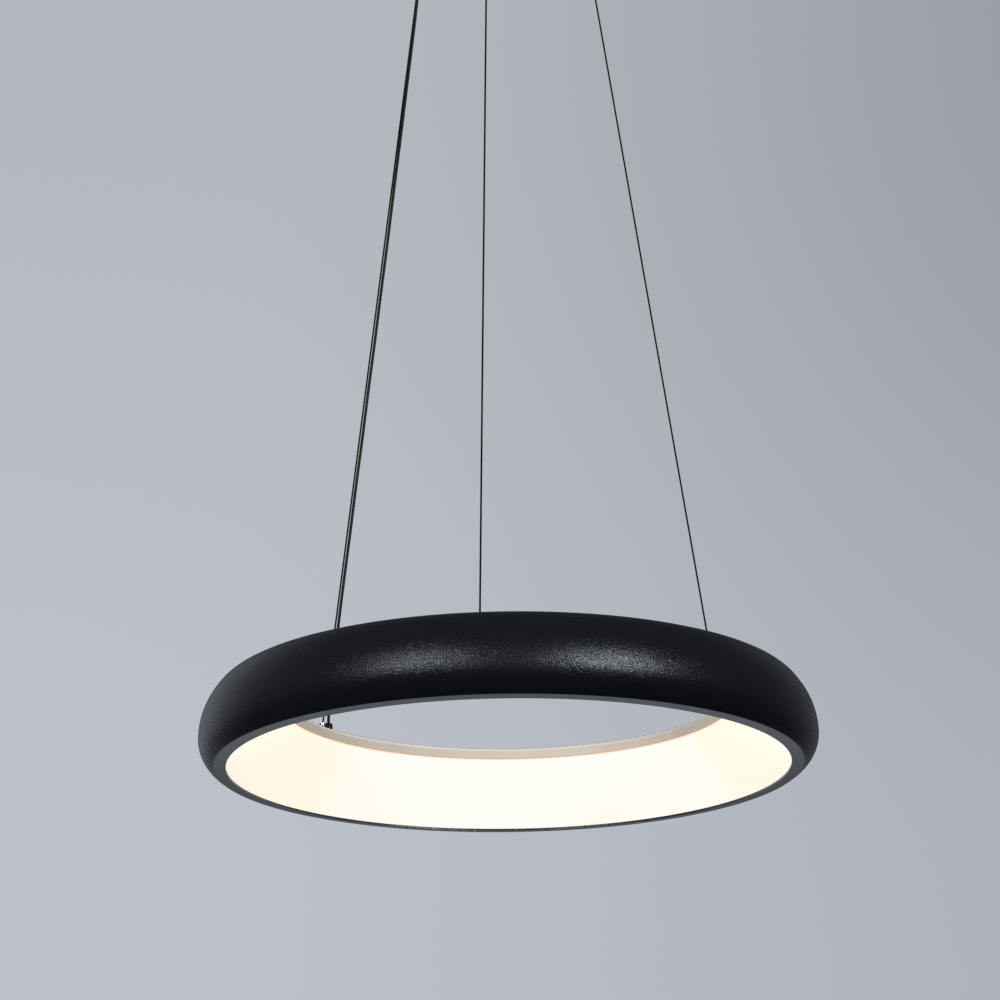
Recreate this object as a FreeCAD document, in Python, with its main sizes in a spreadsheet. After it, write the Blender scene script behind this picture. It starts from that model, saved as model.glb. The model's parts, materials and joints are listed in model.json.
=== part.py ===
import FreeCAD, Part
import Sketcher
import math
import os
import re
from FreeCAD import Vector

# A ring pendant lamp: a hollow black ring of light that hangs from a round canopy on three thin
# steel wires, with its power cord along the left wire. The origin is the middle of the canopy's
# face on the ceiling and +Z is up. The lamp is looked at from its -Y side. Three stations, front,
# right and left, carry a wire each. Millimetres and degrees throughout.

SIZES = {
    # whole lamp
    "total_drop": 982,            # ceiling to the lowest edge of the ring
    "ring_radius": 305,           # widest radius of the ring
    "front_station": -6,          # plan angle of the front wire, from -Y towards +X
    # clearances
    "thread_gap": 0.05,           # screw or nut thread to its partner
    "hole_gap": 0.2,              # stud or shank to a clearance hole
    "seat_gap": 0.3,              # loose sheet or glass to its seat
    "glue_gap": 0.1,              # glued or clamped faces
    # ring shell, seen as a section
    "shell_wall": 2,
    "lip_set_in": 15,             # lip's outer edge inside the widest radius
    "lip_width": 12.5,
    "lip_rise": 1,                # lip's outer edge above its inner edge
    "belly_height": 28,           # height of the widest radius
    "crest_set_in": 37,           # crest inside the widest radius
    "crest_height": 83,
    "crest_arc": 26.2,            # radius of the crest's outer roll
    "crest_fall_width": 17,       # crest to the seam with the top frame
    "crest_fall": 6.5,
    "flange_width": 10,           # sunk flange that carries the top frame
    # top frame
    "frame_sheet": 2.2,
    "frame_width": 28,            # seam to the foot of the inner band
    "frame_edge_gap": 0.4,
    "band_depth": 10.5,
    "band_lean": 2.5,
    "band_corner": 3.2,
    # diffuser
    "diffuser_wall": 3,
    "diffuser_overhang": 0.7,     # foot past the lip's inner edge
    "diffuser_top_set": 0.4,      # top edge behind the band's face
    # light source
    "carrier_set_in": 1.5,        # carrier's back inside the lip's outer edge
    "carrier_wall": 1.5,
    "carrier_foot": 6,
    "carrier_height": 43,
    "strip_height": 19,           # middle of the strip above the lip
    "strip_width": 10,
    "strip_sheet": 0.3,
    "strip_gap": 3,               # degrees left open between the strip's ends
    "chip_count": 90,
    "chip_length": 3.5,
    "chip_height": 2.8,
    "chip_depth": 0.8,
    "reflector_sheet": 0.8,
    "reflector_flat": 11,         # from the seam out to the knee
    "reflector_lap": 0.5,         # from the seam in under the flange
    "spacer_count": 6,
    "spacer_width": 12,
    "spacer_low": 22,
    "spacer_high": 34,
    "spacer_end_gap": 1,
    # screws through the top frame
    "frame_screw_count": 9,
    "frame_screw_set_in": 5,      # screw circle inside the seam
    "screw_radius": 1.5,
    "screw_head_radius": 2.8,
    "screw_head_height": 1.8,
    "screw_length": 7,
    "screw_socket_flats": 2,
    "screw_socket_depth": 1.1,
    # wires and their anchors on the ring
    "wire_radius": 0.9,
    "wire_gap": 0.15,
    "anchor_set_in": 13,          # anchor axis inside the seam
    "barrel_radius": 3.3,
    "barrel_height": 9.5,
    "barrel_chamfer": 0.5,
    "mouth_gap": 1.6,             # room round the wire in the anchor's mouth
    "neck_low": 3,                # narrow hole in the anchor, above the top frame
    "neck_high": 5,
    "anchor_stud_radius": 2.5,
    "anchor_stud_length": 9,
    "ball_radius": 1.6,
    "ball_gap": 0.2,
    "stub_top": 6.5,              # top of the fixed end of wire, above the top frame
    "washer_radius": 5,
    "washer_sheet": 1,
    "anchor_nut_flats": 8,
    "anchor_nut_height": 4,
    "relief_radius": 6.5,         # cut-out in the sunk flange round each stud
    # cord gland on the ring
    "cord_radius": 1.5,
    "cord_gap": 0.35,
    "gland_set_in": 9,            # gland axis inside the seam
    "gland_turn": 3.3,            # degrees past the left anchor
    "gland_radius": 4.4,
    "gland_height": 12,
    "gland_chamfer": 0.8,
    "gland_stud_radius": 2.75,
    "gland_stud_length": 9,
    "gland_nut_flats": 9,
    "gland_nut_height": 3,
    # terminal block under the top frame
    "terminal_turn": 9.5,         # degrees past the gland
    "terminal_set_in": 15,        # its middle inside the seam
    "terminal_length": 16,
    "terminal_width": 9,
    "terminal_height": 9,
    "strip_lead_radius": 0.6,
    # canopy cup and ceiling plate
    "canopy_radius": 125,
    "canopy_height": 42,
    "cup_wall": 1.2,
    "cup_corner": 6,
    "rim_gap": 0.5,               # cup rim to the ceiling
    "plate_gap": 0.5,
    "plate_sheet": 2,
    "plate_rim_wall": 1.5,
    "plate_rim_height": 14,
    "side_screw_count": 3,
    "side_screw_depth": 9,        # below the ceiling
    "side_screw_radius": 2,
    "side_screw_head_radius": 3.5,
    "side_screw_head_height": 2.2,
    "side_screw_length": 7,
    "side_screw_socket_flats": 2.5,
    "side_screw_socket_depth": 1.4,
    "ceiling_screw_spacing": 120,
    "ceiling_screw_hole": 2.6,
    "entry_radius": 9,            # hole for the mains cable
    "entry_y": 22,
    "grommet_flange": 11,
    "grommet_sheet": 1.5,
    "grommet_bore": 5.5,
    # wire grippers, measured from the cup's underside
    "gripper_set_in": 19,         # gripper axis inside the cup's edge
    "gripper_flange_radius": 7,
    "gripper_flange_height": 5,
    "gripper_stud_radius": 5,
    "gripper_stud_height": 19,
    "gripper_chamber_radius": 4.1,
    "gripper_cone_low": 2,
    "gripper_cone_high": 12,
    "gripper_chamfer": 0.8,
    "gripper_nut_flats": 14,
    "gripper_nut_height": 3,
    "sleeve_neck_radius": 2.25,
    "sleeve_gap": 0.1,
    "sleeve_bore_gap": 0.3,
    "nozzle_radius": 3.6,
    "nozzle_low": 13.5,           # below the cup's underside
    "nozzle_high": 8,
    "nozzle_mouth": 2.2,
    "sleeve_neck_top": 6.5,
    "collar_radius": 2.8,
    "collar_sheet": 1.2,
    "grip_ball_radius": 0.85,
    "grip_ball_height": 4.2,
    "grip_ball_gap": 0.03,
    "grip_ball_hole_gap": 0.1,
    "spring_radius": 2.65,
    "spring_wire": 0.5,
    "spring_turns": 5,
    "cap_plug_depth": 4,
    "cap_plug_gap": 0.1,
    "cap_sheet": 1.6,
    "cap_hole_gap": 0.4,
    "pivot_depth": 13,            # where a wire turns, below the cup's underside
    "pivot_gap": 0.4,
    "mouth_seat": 6.8,            # lower end of a wire above the top frame
    "tail_top": 15,               # wire tails end this far below the ceiling
    # cord grip in the cup
    "cord_grip_set_in": 8.2,      # inside the gripper circle
    "cord_grip_spacing": 14.5,    # along its circle, from the left gripper towards the front
    "cord_grip_flange_radius": 7,
    "cord_grip_flange_height": 5,
    "cord_grip_nose": 12,         # nose below the cup's underside
    "cord_grip_nose_radius": 3.8,
    "cord_grip_shoulder": 6,
    "cord_grip_shoulder_radius": 5.5,
    "cord_grip_stud_radius": 5,
    "cord_grip_stud_height": 13,
    "cord_grip_bore_gap": 0.4,
    "cord_top": 8,                # top end of the cord below the cup's underside
    # driver and mains terminal under the ceiling plate
    "driver_length": 150,
    "driver_width": 42,
    "driver_height": 26,
    "driver_corner": 3,
    "driver_y": -37,
    "driver_ear_length": 10,
    "driver_ear_width": 16,
    "driver_ear_sheet": 3,
    "driver_lead_depth": 15,      # lead exits below the ceiling
    "mains_terminal_length": 30,
    "mains_terminal_width": 18,
    "mains_terminal_height": 17,
    "mains_terminal_y": 62,
    "mains_screw_spacing": 22,
    "mains_lead_depth": 12,
    "earth_screw_x": -35,
    "earth_screw_y": 30,
    "earth_screw_radius": 2,
    "earth_head_radius": 3.5,
    "earth_head_height": 2.2,
}

# Sizes that follow from the sheet, written once and named.
WORKED_OUT = {
    "ring_turn": "front_station - 90",
    "lip_outer": "ring_radius - lip_set_in",
    "lip_inner": "lip_outer - lip_width",
    "lip_slope": "lip_rise / lip_width",
    "lower_reach": "belly_height - lip_rise",
    "lower_arc": "(lip_set_in^2 + lower_reach^2) / (2 * lip_set_in)",
    "lower_centre": "ring_radius - lower_arc",
    "lip_root": "lip_outer - shell_wall / 3",
    "crest_radius": "ring_radius - crest_set_in",
    "upper_reach": "crest_height - belly_height",
    "side_reach": "crest_set_in^2 + upper_reach^2 - 2 * upper_reach * crest_arc",
    "side_arc": "side_reach / (2 * (crest_set_in - crest_arc))",
    "side_centre": "ring_radius - side_arc",
    "shoulder_cos": "(crest_radius - side_centre) / (side_arc - crest_arc)",
    "shoulder_sin": "(upper_reach - crest_arc) / (side_arc - crest_arc)",
    "seam_radius": "crest_radius - crest_fall_width",
    "frame_top": "crest_height - crest_fall",
    "fall_arc": "(crest_fall_width^2 + crest_fall^2) / (2 * crest_fall)",
    "flange_top": "frame_top - frame_sheet - glue_gap",
    "flange_inner": "seam_radius - flange_width",
    "frame_under": "frame_top - frame_sheet",
    "band_foot": "seam_radius - frame_width",
    "band_top": "band_foot - band_lean",
    "band_low": "frame_top - band_depth",
    "diffuser_foot": "lip_inner - diffuser_overhang",
    "diffuser_foot_z": "shell_wall + seat_gap - lip_slope * diffuser_overhang",
    "diffuser_top": "band_foot + diffuser_top_set",
    "diffuser_top_z": "band_low - seat_gap",
    "diffuser_run": "diffuser_foot - diffuser_top",
    "diffuser_rise": "diffuser_top_z - diffuser_foot_z",
    "diffuser_level": "diffuser_wall * sqrt(diffuser_run^2 + diffuser_rise^2) / diffuser_rise",
    "carrier_back": "lip_outer - carrier_set_in",
    "carrier_face": "carrier_back - carrier_wall",
    "carrier_low": "shell_wall + seat_gap + lip_slope * (carrier_back - lip_inner)",
    "carrier_top": "carrier_low + carrier_height",
    "strip_back": "carrier_face - glue_gap",
    "strip_face": "strip_back - strip_sheet",
    "reflector_top": "flange_top - shell_wall - seat_gap",
    "reflector_low": "carrier_top + seat_gap",
    "reflector_knee": "seam_radius + reflector_flat",
    "reflector_run": "carrier_back - reflector_knee",
    "reflector_rise": "reflector_top - reflector_low",
    "reflector_level": "reflector_sheet * sqrt(reflector_run^2 + reflector_rise^2) / reflector_rise",
    "frame_screw_circle": "seam_radius - frame_screw_set_in",
    "first_frame_screw": "180 / frame_screw_count",
    "anchor_circle": "seam_radius - anchor_set_in",
    "wire_hole": "wire_radius + wire_gap",
    "anchor_mouth": "wire_radius + mouth_gap",
    "ball_room": "ball_radius + ball_gap",
    "ball_centre": "frame_top + neck_low - ball_gap - ball_radius",
    "ball_bore": "wire_radius + thread_gap",
    "gland_circle": "seam_radius - gland_set_in",
    "gland_bore": "cord_radius + cord_gap",
    "terminal_circle": "seam_radius - terminal_set_in",
    "terminal_middle": "frame_under - seat_gap - terminal_height / 2",
    "cup_inner": "canopy_radius - cup_wall",
    "plate_radius": "cup_inner - plate_gap",
    "gripper_circle": "canopy_radius - gripper_set_in",
    "sleeve_bore": "wire_radius + sleeve_bore_gap",
    "cone_slope": "(gripper_chamber_radius - body_bore) / (gripper_cone_high - gripper_cone_low)",
    "body_bore": "sleeve_neck_radius + sleeve_gap",
    "grip_ball_circle": "wire_radius + grip_ball_gap + grip_ball_radius",
    "spring_low": "sleeve_neck_top + collar_sheet + seat_gap",
    "spring_high": "gripper_stud_height - cap_plug_depth - seat_gap",
    "pivot_z": "-canopy_height - pivot_depth",
    "mouth_z": "frame_top + mouth_seat - total_drop",
    "wire_run": "anchor_circle - gripper_circle",
    "wire_fall": "pivot_z - mouth_z",
    "wire_length": "sqrt(wire_run^2 + wire_fall^2)",
    "wire_lean": "atan2(wire_run; wire_fall)",
    "cord_grip_circle": "gripper_circle - cord_grip_set_in",
    "cord_grip_turn": "cord_grip_spacing / cord_grip_circle * 180 / pi",
    "cord_grip_bore": "cord_radius + cord_grip_bore_gap",
    "driver_end": "driver_length / 2",
    "driver_screw_x": "driver_end + driver_ear_length / 2",
}

# How many thirds of a turn each station lies from the front one.
STATIONS = {"front": 0, "right": 1, "left": -1}
LEFT_TURN = f"-360 / {len(STATIONS)}"

# Route of the power cord from the cup down along the left wire to the ring, chosen by hand.
POWER_CORD_ROUTE = [
    (-86.7, 45.2, -50.0),
    (-86.7, 45.2, -74.0),
    (-89.6, 54.0, -106.0),
    (-95.3, 62.5, -152.0),
    (-102.2, 69.8, -206.0),
    (-109.0, 76.4, -262.0),
    (-116.2, 82.6, -318.0),
    (-123.0, 89.2, -374.0),
    (-130.2, 94.6, -430.0),
    (-137.1, 100.2, -486.0),
    (-144.2, 105.0, -540.0),
    (-150.5, 110.2, -592.0),
    (-157.4, 114.7, -644.0),
    (-163.7, 119.9, -696.0),
    (-170.0, 124.1, -744.0),
    (-175.7, 128.8, -790.0),
    (-180.6, 134.2, -832.0),
    (-183.2, 140.5, -856.0),
    (-187.3, 153.3, -880.0),
    (-187.3, 153.3, -903.0),
]

doc = FreeCAD.newDocument("ring_pendant")
sheet = doc.addObject("Spreadsheet::Sheet", "Sizes")
for row, (size_name, number) in enumerate(SIZES.items(), start=1):
    sheet.set(f"A{row}", size_name)
    sheet.set(f"B{row}", str(number))
    sheet.setAlias(f"B{row}", size_name)
doc.recompute()


def sized(text):
    """Turn a formula on the size names into one that the document can follow."""
    def look_up(match):
        word = match.group()
        if word in WORKED_OUT:
            return f"({sized(WORKED_OUT[word])})"
        return f"Sizes.{word}" if word in SIZES else word
    return re.sub("[a-z][a-z_0-9]*", look_up, text)


def number_of(text):
    """What a formula on the size names comes to."""
    result = sheet.evalExpression(sized(text))
    return float(getattr(result, "Value", result))


def start_body(name, x="0", y="0", z="0", turn="0", lean="0"):
    """A new piece that stands at x, y, z, is turned about Z and leans outwards by lean."""
    body = doc.addObject("PartDesign::Body", name)
    body.Label = name
    turned = f"rotation(vector(0; 0; 1); {turn}) * rotation(vector(0; 1; 0); -({lean}))"
    body.setExpression("Placement", sized(f"placement(vector({x}; {y}; {z}); {turned})"))
    return body


def ring_body(name, turn="0"):
    """A piece in the ring's frame: Z from the lip, +X towards the front station, then turned."""
    return start_body(name, z="-total_drop", turn=f"ring_turn + {turn}")


def canopy_body(name, turn):
    """A piece round the canopy's axis: Z from the cup's underside, +X towards a station."""
    return start_body(name, z="-canopy_height", turn=f"ring_turn + {turn}")


def start_sketch(body, plane, offset="0"):
    """A sketch on one of the body's own origin planes, or level with it at an offset."""
    sketch = body.newObject("Sketcher::SketchObject", f"{body.Name}_sketch")
    support = next(item for item in body.Origin.OriginFeatures if item.Role == plane)
    sketch.AttachmentSupport = [(support, "")]
    sketch.MapMode = "FlatFace"
    sketch.setExpression("AttachmentOffset.Base.z", sized(offset))
    return sketch


def pin(sketch, edge, end, x, y):
    """Hold an edge's end or centre at x, y from the sketch's origin."""
    for kind, size in (("DistanceX", x), ("DistanceY", y)):
        held = sketch.addConstraint(Sketcher.Constraint(kind, -1, 1, edge, end, number_of(size)))
        sketch.setExpression(f"Constraints[{held}]", sized(size))


def set_radius(sketch, edge, radius):
    """Hold the radius of an arc or a circle."""
    held = sketch.addConstraint(Sketcher.Constraint("Radius", edge, number_of(radius)))
    sketch.setExpression(f"Constraints[{held}]", sized(radius))


def arc_middle(start, stop, radius, way):
    """The middle of an arc that turns left or right on its way from start to stop."""
    chord = stop - start
    height = radius - math.sqrt(max(radius ** 2 - (chord.Length / 2) ** 2, 0))
    outwards = Vector(chord.y, -chord.x, 0).normalize()
    return (start + stop) / 2 + outwards * (height if way == "left" else -height)


def draw_loop(sketch, corners):
    """A closed outline. A corner is (x, y), with a radius and a way where an arc leads on from it."""
    spots = [Vector(number_of(corner[0]), number_of(corner[1]), 0) for corner in corners]
    first = sketch.GeometryCount
    ends = []
    for corner, start, stop in zip(corners, spots, spots[1:] + spots[:1]):
        if len(corner) == 2:
            sketch.addGeometry(Part.LineSegment(start, stop), False)
            ends.append((1, 2))
            continue
        radius, way = corner[2:]
        middle = arc_middle(start, stop, number_of(radius), way)
        along = (start, middle, stop) if way == "left" else (stop, middle, start)
        edge = sketch.addGeometry(Part.Arc(*along), False)
        ends.append((1, 2) if way == "left" else (2, 1))
        set_radius(sketch, edge, radius)
    for i, corner in enumerate(corners):
        follower = (i + 1) % len(corners)
        joined = (first + i, ends[i][1], first + follower, ends[follower][0])
        sketch.addConstraint(Sketcher.Constraint("Coincident", *joined))
        pin(sketch, first + i, ends[i][0], corner[0], corner[1])


def draw_circle(sketch, x, y, radius):
    """A full circle round x, y."""
    centre = Vector(number_of(x), number_of(y), 0)
    edge = sketch.addGeometry(Part.Circle(centre, Vector(0, 0, 1), number_of(radius)), False)
    pin(sketch, edge, 3, x, y)
    set_radius(sketch, edge, radius)


def draw_axis(sketch, start, stop):
    """A construction line to turn an outline about."""
    spots = [Vector(number_of(x), number_of(y), 0) for x, y in (start, stop)]
    edge = sketch.addGeometry(Part.LineSegment(*spots), True)
    pin(sketch, edge, 1, *start)
    pin(sketch, edge, 2, *stop)


def draw_hexagon(sketch, x, y, flats):
    """A hexagon round x, y, sized across its flats."""
    reach = f"{flats} / 2 / cos(30)"
    draw_loop(sketch, [(f"{x} + {reach} * cos({60 * i})", f"{y} + {reach} * sin({60 * i})") for i in range(6)])


def draw_rectangle(sketch, x_low, x_high, y_low, y_high):
    """A plain rectangle."""
    draw_loop(sketch, [(x_low, y_low), (x_high, y_low), (x_high, y_high), (x_low, y_high)])


def revolve(body, corners, about="0", sweep="360"):
    """Turn an outline of (radius, height) corners about the upright line at x = about."""
    sketch = start_sketch(body, "XZ_Plane")
    draw_loop(sketch, [(f"{about} + {corner[0]}", *corner[1:]) for corner in corners])
    draw_axis(sketch, (about, "0"), (about, "ring_radius"))
    turned = body.newObject("PartDesign::Revolution", f"{body.Name}_turned")
    turned.Profile = sketch
    turned.ReferenceAxis = (sketch, ["Axis0"])
    turned.setExpression("Angle", sized(sweep))
    turned.Midplane = True
    return turned


def pad(body, sketch, length, down=False):
    """Give an outline a height."""
    block = body.newObject("PartDesign::Pad", f"{body.Name}_block")
    block.Profile = sketch
    block.setExpression("Length", sized(length))
    block.Reversed = down
    return block


def cut(body, sketch, depth, up=False):
    """Cut an outline out of the piece, downwards unless told otherwise."""
    hole = body.newObject("PartDesign::Pocket", f"{body.Name}_cut")
    hole.Profile = sketch
    hole.setExpression("Length", sized(depth))
    hole.Reversed = up
    return hole


def repeat(body, features, count):
    """Copy features round the body's Z axis."""
    copies = body.newObject("PartDesign::PolarPattern", f"{body.Name}_copies")
    copies.Originals = features
    axis = next(item for item in body.Origin.OriginFeatures if item.Role == "Z_Axis")
    copies.Axis = (axis, [""])
    copies.Angle = 360
    copies.setExpression("Occurrences", sized(str(count)))
    body.Tip = copies
    return copies


def round_hole(body, x, y, z, radius, depth, up=False):
    """One upright round hole that starts at height z."""
    sketch = start_sketch(body, "XY_Plane", z)
    draw_circle(sketch, x, y, radius)
    return cut(body, sketch, depth, up)


def nut(body, x, z, flats, bore, height):
    """A hexagon nut that stands on height z."""
    sketch = start_sketch(body, "XY_Plane", z)
    draw_hexagon(sketch, x, "0", flats)
    draw_circle(sketch, x, "0", bore)
    return pad(body, sketch, height)


def tube(name, route, radius, placement):
    """A lead along straight runs with tangent arcs, each as large as its two runs allow."""
    spots = [Vector(*point) for point in route]
    edges = []
    radii = []
    leave = spots[0]
    for before, corner, after in zip(spots, spots[1:], spots[2:]):
        back = (before - corner).normalize()
        ahead = (after - corner).normalize()
        half_turn = (math.pi - back.getAngle(ahead)) / 2
        reach = 0.45 * min((before - corner).Length, (after - corner).Length)
        radii.append(reach / math.tan(half_turn))
        enter = corner + back * reach
        exit_spot = corner + ahead * reach
        inward = (back + ahead).normalize()
        middle = corner + inward * (radii[-1] / math.cos(half_turn) - radii[-1])
        edges.append(Part.LineSegment(leave, enter).toShape())
        edges.append(Part.Arc(enter, middle, exit_spot).toShape())
        leave = exit_spot
    edges.append(Part.LineSegment(leave, spots[-1]).toShape())
    path = Part.Wire(edges)
    section = Part.Wire(Part.makeCircle(radius, spots[0], spots[1] - spots[0]))
    piece = doc.addObject("Part::Feature", name)
    piece.Label = name
    piece.Shape = path.makePipeShell([section], True, False)
    piece.Placement = placement
    ratio = piece.Shape.Volume / (math.pi * radius ** 2 * path.Length)
    print(f"{name}: length {path.Length:.1f}, least radius {min(radii):.1f}, volume ratio {ratio:.4f}")
    if abs(ratio - 1) > 0.01:
        raise ValueError(f"{name} is not a whole tube")
    return piece


def outer_shell():
    """The painted ring: lip, rounded side, crest and a sunk flange, with screw and stud holes."""
    body = ring_body("outer_shell")
    inner_seam = "seam_radius + shell_wall"
    fall_room = "(crest_fall_width - shell_wall)"
    revolve(body, [
        ("lip_inner", "0"),
        ("lip_outer", "lip_rise", "lower_arc", "left"),
        ("ring_radius", "belly_height", "side_arc", "left"),
        ("side_centre + side_arc * shoulder_cos", "belly_height + side_arc * shoulder_sin",
         "crest_arc", "left"),
        ("crest_radius", "crest_height", "fall_arc", "left"),
        ("seam_radius", "frame_top"),
        ("seam_radius", "flange_top"),
        ("flange_inner", "flange_top"),
        ("flange_inner", "flange_top - shell_wall"),
        (inner_seam, "flange_top - shell_wall"),
        (inner_seam, f"crest_height - fall_arc + sqrt((fall_arc - shell_wall)^2 - {fall_room}^2)",
         "fall_arc - shell_wall", "right"),
        ("crest_radius", "crest_height - shell_wall", "crest_arc - shell_wall", "right"),
        ("side_centre + (side_arc - shell_wall) * shoulder_cos",
         "belly_height + (side_arc - shell_wall) * shoulder_sin", "side_arc - shell_wall", "right"),
        ("ring_radius - shell_wall", "belly_height", "lower_arc - shell_wall", "right"),
        ("lip_root", "belly_height - sqrt((lower_arc - shell_wall)^2 - (lip_root - lower_centre)^2)"),
        ("lip_inner", "shell_wall"),
    ])
    screw_x = "frame_screw_circle * cos(first_frame_screw)"
    screw_y = "frame_screw_circle * sin(first_frame_screw)"
    hole = round_hole(body, screw_x, screw_y, "flange_top", "screw_radius + thread_gap", "2 * shell_wall")
    repeat(body, [hole], "frame_screw_count")
    relief = round_hole(body, "anchor_circle", "0", "flange_top", "relief_radius", "2 * shell_wall")
    repeat(body, [relief], len(STATIONS))
    gland_angle = f"({LEFT_TURN} - gland_turn)"
    round_hole(body, f"gland_circle * cos{gland_angle}", f"gland_circle * sin{gland_angle}",
               "flange_top", "relief_radius", "2 * shell_wall")


def top_frame():
    """The flat plate on top of the ring with the short leaning band inside it."""
    body = ring_body("top_frame")
    revolve(body, [
        ("band_foot", "band_low"),
        ("band_foot + frame_sheet", "band_low"),
        ("band_top + frame_sheet", "frame_under"),
        ("seam_radius - frame_edge_gap", "frame_under"),
        ("seam_radius - frame_edge_gap", "frame_top"),
        ("band_top + band_corner", "frame_top", "band_corner", "left"),
        ("band_top", "frame_top - band_corner"),
    ])
    depth = "2 * frame_sheet"
    screw_x = "frame_screw_circle * cos(first_frame_screw)"
    screw_y = "frame_screw_circle * sin(first_frame_screw)"
    hole = round_hole(body, screw_x, screw_y, "frame_top", "screw_radius + hole_gap", depth)
    repeat(body, [hole], "frame_screw_count")
    stud_hole = round_hole(body, "anchor_circle", "0", "frame_top", "anchor_stud_radius + hole_gap", depth)
    repeat(body, [stud_hole], len(STATIONS))
    gland_angle = f"({LEFT_TURN} - gland_turn)"
    round_hole(body, f"gland_circle * cos{gland_angle}", f"gland_circle * sin{gland_angle}",
               "frame_top", "gland_stud_radius + hole_gap", depth)


def diffuser():
    """The opal ring that slopes from the lip up to the band."""
    body = ring_body("diffuser")
    foot_outer = "diffuser_foot + diffuser_level"
    revolve(body, [
        ("diffuser_foot", "diffuser_foot_z"),
        (foot_outer, "diffuser_foot_z + lip_slope * diffuser_level"),
        ("diffuser_top + diffuser_level", "diffuser_top_z"),
        ("diffuser_top", "diffuser_top_z"),
    ])


def led_carrier():
    """The upright aluminium ring with a foot, which holds the strip and sheds its heat."""
    body = ring_body("led_carrier")
    foot_tip = "carrier_back - carrier_foot"
    revolve(body, [
        (foot_tip, "carrier_low"),
        ("carrier_back", "carrier_low"),
        ("carrier_back", "carrier_top"),
        ("carrier_face", "carrier_top"),
        ("carrier_face", "carrier_low + carrier_wall"),
        (foot_tip, "carrier_low + carrier_wall"),
    ])


def led_strip():
    """The flexible circuit strip on the carrier's inner face, open at the terminal block."""
    body = ring_body("led_strip", f"({LEFT_TURN} - gland_turn - terminal_turn + 180)")
    revolve(body, [
        ("strip_face", "strip_height - strip_width / 2"),
        ("strip_back", "strip_height - strip_width / 2"),
        ("strip_back", "strip_height + strip_width / 2"),
        ("strip_face", "strip_height + strip_width / 2"),
    ], sweep="360 - strip_gap")


def led_chips():
    """The light chips along the strip, the first one half a step from the strip's gap."""
    body = ring_body("led_chips", f"({LEFT_TURN} - gland_turn - terminal_turn + 180 / chip_count)")
    sketch = start_sketch(body, "XY_Plane", "strip_height - chip_height / 2")
    outer = "strip_face - glue_gap / 2"
    draw_rectangle(sketch, f"{outer} - chip_depth", outer, "-chip_length / 2", "chip_length / 2")
    chip = pad(body, sketch, "chip_height")
    repeat(body, [chip], "chip_count")


def reflector():
    """The white sheet ring that throws the light down onto the diffuser."""
    body = ring_body("reflector")
    lap = "seam_radius - reflector_lap"
    bent = "carrier_back - reflector_level - reflector_run * (1 - reflector_sheet / reflector_rise)"
    revolve(body, [
        ("carrier_back - reflector_level", "reflector_low"),
        ("carrier_back", "reflector_low"),
        ("reflector_knee", "reflector_top"),
        (lap, "reflector_top"),
        (lap, "reflector_top - reflector_sheet"),
        (bent, "reflector_top - reflector_sheet"),
    ])


def carrier_spacers():
    """Blocks that hold the carrier away from the shell's side."""
    body = ring_body("carrier_spacers", "180 / spacer_count")
    sketch = start_sketch(body, "XY_Plane", "spacer_low")
    draw_rectangle(sketch, "carrier_back + seat_gap", "ring_radius - shell_wall - spacer_end_gap",
                   "-spacer_width / 2", "spacer_width / 2")
    block = pad(body, sketch, "spacer_high - spacer_low")
    repeat(body, [block], "spacer_count")


def frame_screws():
    """Pan head screws that hold the top frame down on the sunk flange."""
    body = ring_body("frame_screws", "first_frame_screw")
    head_top = "frame_top + screw_head_height"
    screw = revolve(body, [
        ("0", "frame_top - screw_length"),
        ("screw_radius", "frame_top - screw_length"),
        ("screw_radius", "frame_top"),
        ("screw_head_radius", "frame_top"),
        ("screw_head_radius", "frame_top + screw_head_height / 2"),
        ("screw_head_radius - screw_head_height / 2", head_top),
        ("0", head_top),
    ], about="frame_screw_circle")
    sketch = start_sketch(body, "XY_Plane", head_top)
    draw_hexagon(sketch, "frame_screw_circle", "0", "screw_socket_flats")
    socket = cut(body, sketch, "screw_socket_depth")
    repeat(body, [screw, socket], "frame_screw_count")


def wire_anchors():
    """Barrels on the top frame. The wire's ball is caught under the narrow neck."""
    for station, thirds in STATIONS.items():
        body = ring_body(f"wire_anchor_{station}", f"{thirds} * 360 / {len(STATIONS)}")
        stud_low = "frame_top - anchor_stud_length"
        barrel_top = "frame_top + barrel_height"
        revolve(body, [
            ("ball_room", stud_low),
            ("anchor_stud_radius", stud_low),
            ("anchor_stud_radius", "frame_top"),
            ("barrel_radius", "frame_top"),
            ("barrel_radius", f"{barrel_top} - barrel_chamfer"),
            ("barrel_radius - barrel_chamfer", barrel_top),
            ("anchor_mouth", barrel_top),
            ("anchor_mouth", "frame_top + neck_high"),
            ("wire_hole", "frame_top + neck_high"),
            ("wire_hole", "frame_top + neck_low"),
            ("ball_room", "frame_top + neck_low"),
        ], about="anchor_circle")


def wire_ends():
    """The fixed lower ends of the wires and the balls pressed on them."""
    stubs = ring_body("wire_stubs")
    ball_low = "ball_centre - sqrt(ball_radius^2 - ball_bore^2)"
    ball_high = "ball_centre + sqrt(ball_radius^2 - ball_bore^2)"
    stub = revolve(stubs, [
        ("0", ball_low),
        ("wire_radius", ball_low),
        ("wire_radius", "frame_top + stub_top"),
        ("0", "frame_top + stub_top"),
    ], about="anchor_circle")
    repeat(stubs, [stub], len(STATIONS))
    balls = ring_body("ball_ferrules")
    ball = revolve(balls, [
        ("ball_bore", ball_low, "ball_radius", "left"),
        ("ball_bore", ball_high),
    ], about="anchor_circle")
    repeat(balls, [ball], len(STATIONS))


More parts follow.
